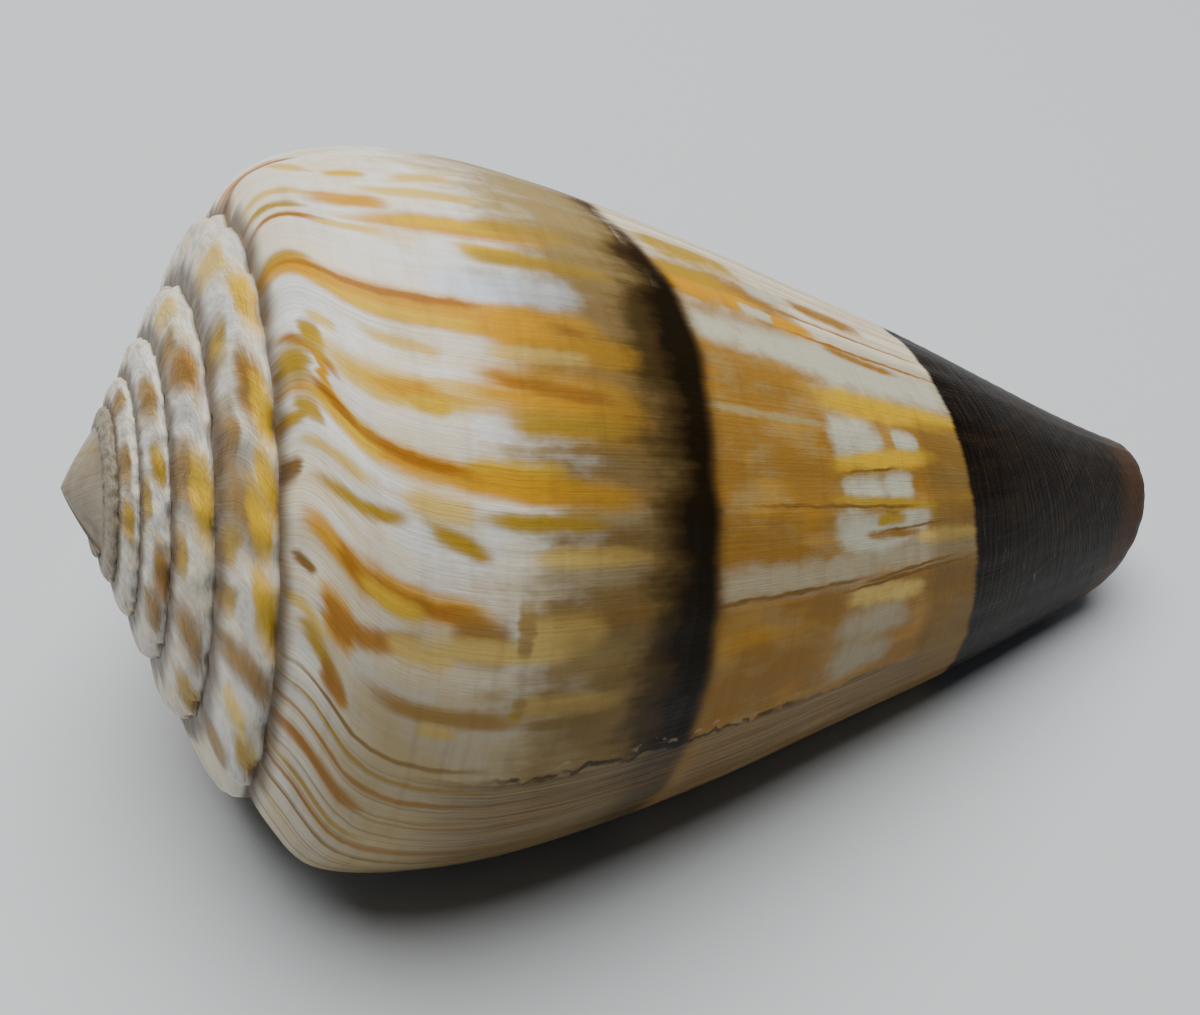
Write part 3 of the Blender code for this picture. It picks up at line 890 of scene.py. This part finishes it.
    def middle(self):
        """Ochre, then blotched white and ochre, from the band to the base."""
        n = self.n
        cloudy = n.plus(self.clouds, (self.fine, 0.35), (self.blotch, 0.6))
        tone = n.mix(n.step(cloudy, -0.08, 0.26, 0.0, 0.6), OCHRE, LATE_TAN)
        blotched = n.plus(self.blotch, (self.streak, 0.4))
        tone = n.mix(n.step(blotched, 0.0, 0.26, 0.0, 0.4), tone, ORANGE)
        far_side = n.step(self.facing, 0.45, 0.1)
        stripes = n.noise(n.times(self.line, 0.09), n.times(self.along, 0.03), 37.0, 3.0)
        broken = n.plus(stripes, (self.clouds, 0.45), (self.ragged, 0.05))
        pale = n.times(far_side, n.step(broken, -0.05, 0.09, 0.0, 0.9))
        tone = n.mix(pale, tone, CHALK)
        top = n.times(n.step(self.raw_line, -117.0, -122.0), n.step(self.raw_line, -152.0, -146.0))
        tone = n.mix(n.times(top, n.step(self.streak, -0.15, 0.1, 0.9, 0.55)), tone, CREAM)
        tone = self.paint(tone, LOWER_MARKS, 1.1, self.patchy)
        even = n.times(n.step(self.along, 51.0, 53.0), n.step(self.raw_line, -106.0, -103.0))
        return n.mix(n.times(even, 0.6), tone, TAN)

    def band(self, colour):
        """The dark middle band: a fringe, an uneven left edge, a core and a cleaner right edge."""
        n = self.n
        turn = n.past(self.raw_line, BULGE_LINE)
        bulge = n.step(n.math("ABSOLUTE", turn), 26.0, 4.0, 0.0, 0.7)
        high = n.times(n.step(self.raw_line, -120.0, -146.0), self.step_seen())
        left = n.plus(BAND_LEFT, (n.step(self.raw_line, -56.0, -134.0), 1.2), (high, 0.2))
        right = n.plus(BAND_RIGHT, (bulge, 1.0), (high, -1.2), (self.fine, 0.2), (self.clouds, 0.8))
        ragged = n.plus(self.along, (self.streak, 0.5), (self.ragged, 0.3), (self.clouds, 3.4))
        inside = n.step(n.math("SUBTRACT", right, self.raw_along), -0.4, 0.65)
        edge = n.step(n.math("SUBTRACT", right, self.raw_along), -1.0, 0.2, 0.0, 0.7)
        near_bulge = n.between(self.raw_line, -118.0, -104.0, 6.0)
        smeared = n.math("MAXIMUM", near_bulge, n.step(self.raw_line, -78.0, -66.0, 0.0, 0.5))
        wide = n.math("ADD", n.math("SUBTRACT", ragged, left), n.times(smeared, 1.6))
        fringe = n.times(n.step(wide, -2.4, 0.3, 0.0, 0.85), n.plus(1.0, (high, -0.5)))
        core = n.step(n.math("SUBTRACT", ragged, left), -0.9, 1.0)
        colour = n.mix(n.times(fringe, inside), colour, FRINGE_BROWN)
        colour = n.mix(n.times(core, edge), colour, EDGE_BROWN)
        return n.mix(n.times(core, inside), colour, n.mix(n.times(high, 0.5), BLACK_BROWN, EDGE_BROWN))

    def step_seen(self):
        """1 on the half of the shell that the picture shows."""
        return self.n.step(self.facing, -0.2, 0.3)

    def scar(self, colour):
        """Rough shell that grew after an old break, from its ragged edge on towards the lip."""
        n = self.n
        wander = n.noise(n.times(self.raw_along, 0.33), 0.0, 41.0, 3.0)
        edge = n.plus(SCAR_LINE, (wander, 9.0))
        past = n.math("SUBTRACT", self.raw_line, edge)
        reach = n.between(self.raw_along, *SCAR_SPAN, 3.0)
        striae = n.noise(n.times(self.raw_line, 1.6), n.times(self.raw_along, 0.06), 43.0, 4.0, 0.7)
        rough = n.mix(n.step(striae, -0.14, 0.14), STRIATED_DARK, STRIATED)
        over_band = n.between(self.raw_along, 29.0, 33.5, 1.2)
        share = n.times(n.step(past, -0.2, 0.5, 0.0, 0.72), reach, n.plus(1.0, (over_band, -0.45)))
        colour = n.mix(share, colour, rough)
        chips = n.noise(n.times(self.raw_line, 0.7), n.times(self.raw_along, 0.9), 47.0, 3.0)
        aside = n.math("ABSOLUTE", n.plus(past, (chips, 1.6)))
        gap = n.times(n.step(aside, 0.75, 0.2), n.step(chips, -0.16, 0.02))
        crack = n.times(gap, n.between(self.raw_along, *CRACK_SPAN, 1.5))
        colour = n.mix(n.times(crack, 0.8), colour, CRACK)
        beside = n.step(n.math("ABSOLUTE", n.plus(past, (chips, 1.6), (1.0, 1.5))), 0.7, 0.2)
        chipped = n.times(beside, n.step(chips, 0.04, 0.12), n.between(self.raw_along, *CRACK_SPAN, 1.5))
        return n.mix(n.times(chipped, 0.4), colour, CHIP)

    def base(self, colour):
        """The dark base, with finer lines and scratches and a brown rim."""
        n = self.n
        turned = n.past(self.raw_line, BOW_LINE)
        bow = n.math("MINIMUM", n.times(turned, turned, 0.00045), 2.6)
        start = n.plus(BASE_START, (bow, 1.0), (self.fine, 0.5))
        past = n.math("SUBTRACT", self.raw_along, start)
        lines = n.noise(n.times(self.base_line, 0.22), n.times(self.raw_along, 0.12), 53.0, 4.0, 0.6)
        dark = n.mix(n.step(lines, -0.1, 0.25, 0.0, 0.55), BASE_BROWN, BASE_LIGHT)
        grain = n.noise(n.times(self.base_line, 0.12), n.times(self.raw_along, 1.7), 59.0, 4.0, 0.65)
        low = n.step(self.raw_line, -95.0, -55.0, 0.35, 1.0)
        dark = n.mix(n.times(n.step(grain, 0.12, 0.26), low, 0.4), dark, SCRATCH)
        rim_start = n.math("MINIMUM", n.plus(RIM_FROM, (n.past(self.raw_line, RIM_LINE), -0.1)), RIM_LATEST)
        rim = n.step(n.math("SUBTRACT", self.raw_along, rim_start), 1.0, 4.5)
        dark = n.mix(rim, dark, RIM_BROWN)
        return n.mix(n.step(past, -0.35, 0.35), colour, dark)

    def sutures(self, colour):
        """Painted shade in the grooves between the turns."""
        n = self.n
        spots = n.noise(n.times(self.raw_line, 0.12), n.times(self.raw_along, 0.5), 61.0)
        start = n.step(n.plus(self.raw_along, (spots, 0.5)), 9.6, 9.05, 0.0, 0.85)
        on_spire = n.step(self.raw_line, -350.0, -362.0)
        end = n.times(n.step(n.plus(self.raw_along, (spots, 0.4)), 11.75, 12.3, 0.0, 0.8), on_spire)
        # painted shade along both sides of each suture, patchy with noise
        return n.mix(n.math("MAXIMUM", start, end), colour, SUTURE_SHADE)

    def spire(self):
        n = self.n
        mottle = n.noise(n.times(self.raw_line, 0.13), n.times(self.raw_along, 0.9), 83.0, 4.0, 0.65)
        # painted shade: the spire's white is greyed all over, more in mottled patches
        colour = n.mix(n.step(mottle, 0.06, -0.16, 0.15, 0.7), self.ground(), SHADED_WHITE)
        colour = self.paint(self.hidden_flames(colour), SPIRE_MARKS, WIDEN, n.times(self.ragged, 0.55))
        colour = n.mix(n.step(mottle, 0.04, 0.24, 0.0, 0.35), colour, SPIRE_BROWN)
        colour = self.sutures(colour)
        worn = n.step(self.raw_line, -1600.0, -1900.0, 0.0, 0.85)
        return n.mix(worn, colour, n.mix(n.step(mottle, -0.12, 0.16), WORN_GREY, WORN))

    def weathered(self, colour):
        """Faint darker spiral lines."""
        n = self.n
        return n.mix(n.step(self.spiral, -0.05, 0.3, 0.0, 0.16), colour, STRIATED_DARK)

    def side(self):
        n = self.n
        reach = self.toward_band()
        high = n.times(n.step(self.raw_line, -112.0, -136.0, 0.0, 0.75), self.step_seen())
        brown = n.mix(high, TAN, LATE_OLIVE)
        colour = self.hidden_flames(self.tanned(self.ground(), reach, brown))
        colour = self.paint(colour, BODY_MARKS, WIDEN, self.ragged)
        # the tan tint again over the marks, partly painted shade towards the lip
        colour = n.mix(self.late(0.5), colour, LATE_TAN)
        colour = self.band(self.weathered(self.smoked(colour, reach, high, brown)))
        colour = self.sutures(self.crowded_lines(self.scar(colour)))
        return n.mix(self.inner, colour, PORCELAIN)

    def lower(self):
        colour = self.crowded_lines(self.scar(self.band(self.weathered(self.middle()))))
        return self.n.mix(self.inner, self.base(colour), PORCELAIN)

    def inside(self):
        return self.n.mix(self.n.step(self.blotch, -0.1, 0.1), PORCELAIN, MILK)

    def height(self, on_spire):
        """Fine relief for the bump; the spire is lumpier."""
        n = self.n
        fine = n.noise(n.times(self.base_line, 2.2), n.times(self.raw_along, 0.08), 67.0, 2.0, 0.6)
        threads = n.noise(n.times(self.raw_line, 0.05), n.times(self.raw_along, 2.6), 71.0, 3.0)
        pits = n.noise(n.times(self.raw_line, 1.2), n.times(self.raw_along, 1.5), 73.0, 2.0)
        on_base = n.step(self.raw_along, BASE_START, BASE_START + 2.0)
        cords = n.times(threads, n.plus(0.5, (on_base, 0.7)))
        relief = n.plus(n.times(fine, 0.7), (cords, 1.0), (pits, 0.6))
        if not on_spire:
            return relief
        lumps = n.noise(n.times(self.raw_line, 0.09), n.times(self.raw_along, 0.8), 79.0, 3.0, 0.6)
        return n.plus(relief, (lumps, 9.0))


def zone_material(zone):
    material = bpy.data.materials.new("shell_" + zone)
    material.use_nodes = True
    surface = material.node_tree.nodes["Principled BSDF"]
    n = Nodes(material.node_tree)
    skin = Skin(n, SPIRE_GRAIN if zone == "spire" else 1.0)
    n.put(surface.inputs["Base Color"], getattr(skin, zone)())
    surface.inputs["Specular IOR Level"].default_value = GLOSS[zone]
    n.put(surface.inputs["Roughness"], n.plus(ROUGHNESS, (skin.fine, 0.15), (skin.blotch, 0.10)))
    bump = n.add("ShaderNodeBump")
    n.put(bump.inputs["Height"], skin.height(zone == "spire"))
    n.put(bump.inputs["Distance"], BUMP_DISTANCE)
    n.put(bump.inputs["Strength"], BUMP_STRENGTH)
    n.put(surface.inputs["Normal"], bump.outputs[0])
    return material


def make_floor():
    mesh = bpy.data.meshes.new("floor")
    half = FLOOR_HALF
    corners = [(-half, -half, 0), (half, -half, 0), (half, half, 0), (-half, half, 0)]
    mesh.from_pydata(corners, [], [(0, 1, 2, 3)])
    floor = bpy.data.objects.new("floor", mesh)
    material = bpy.data.materials.new("floor")
    material.use_nodes = True
    surface = material.node_tree.nodes["Principled BSDF"]
    surface.inputs["Base Color"].default_value = linear(*FLOOR_COLOUR)
    surface.inputs["Roughness"].default_value = FLOOR_ROUGHNESS
    mesh.materials.append(material)
    bpy.context.scene.collection.objects.link(floor)


def make_lamp():
    data = bpy.data.lights.new("key", "AREA")
    data.shape = "DISK"
    data.size = LAMP_SIZE
    data.energy = LAMP_POWER
    lamp = bpy.data.objects.new("key", data)
    lamp.location = LAMP_AT
    lamp.rotation_euler = (Vector(LAMP_AIM) - Vector(LAMP_AT)).to_track_quat("-Z", "Y").to_euler()
    bpy.context.scene.collection.objects.link(lamp)


def make_world():
    """A faint even light, which looks brighter where it is seen directly."""
    world = bpy.data.worlds.new("sky")
    world.use_nodes = True
    n = Nodes(world.node_tree)
    background = world.node_tree.nodes["Background"]
    background.inputs["Color"].default_value = SKY_COLOUR
    seen = n.add("ShaderNodeLightPath").outputs["Is Camera Ray"]
    n.put(background.inputs["Strength"], n.plus(FILL_LIGHT, (seen, BACKDROP_LIGHT - FILL_LIGHT)))
    bpy.context.scene.world = world


def make_camera():
    data = bpy.data.cameras.new("camera")
    data.lens = LENS
    data.sensor_width = SENSOR
    data.sensor_fit = "HORIZONTAL"
    data.clip_start = NEAREST_SEEN
    camera = bpy.data.objects.new("camera", data)
    rest = resting_matrix()
    right = (rest.to_3x3() @ Vector(CAMERA_RIGHT)).normalized()
    up = (rest.to_3x3() @ Vector(CAMERA_UP)).normalized()
    back = right.cross(up).normalized()
    up = back.cross(right)
    turn = Matrix((right, up, back)).transposed().to_4x4()
    camera.matrix_world = Matrix.Translation(rest @ Vector(CAMERA_AT)) @ turn
    bpy.context.scene.collection.objects.link(camera)
    bpy.context.scene.camera = camera


def main():
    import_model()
    shell = make_shell()
    for zone in ZONES:
        shell.data.materials.append(zone_material(zone))
    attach(shell, "root")
    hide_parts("shell")
    make_floor()
    make_world()
    make_lamp()
    make_camera()


main()
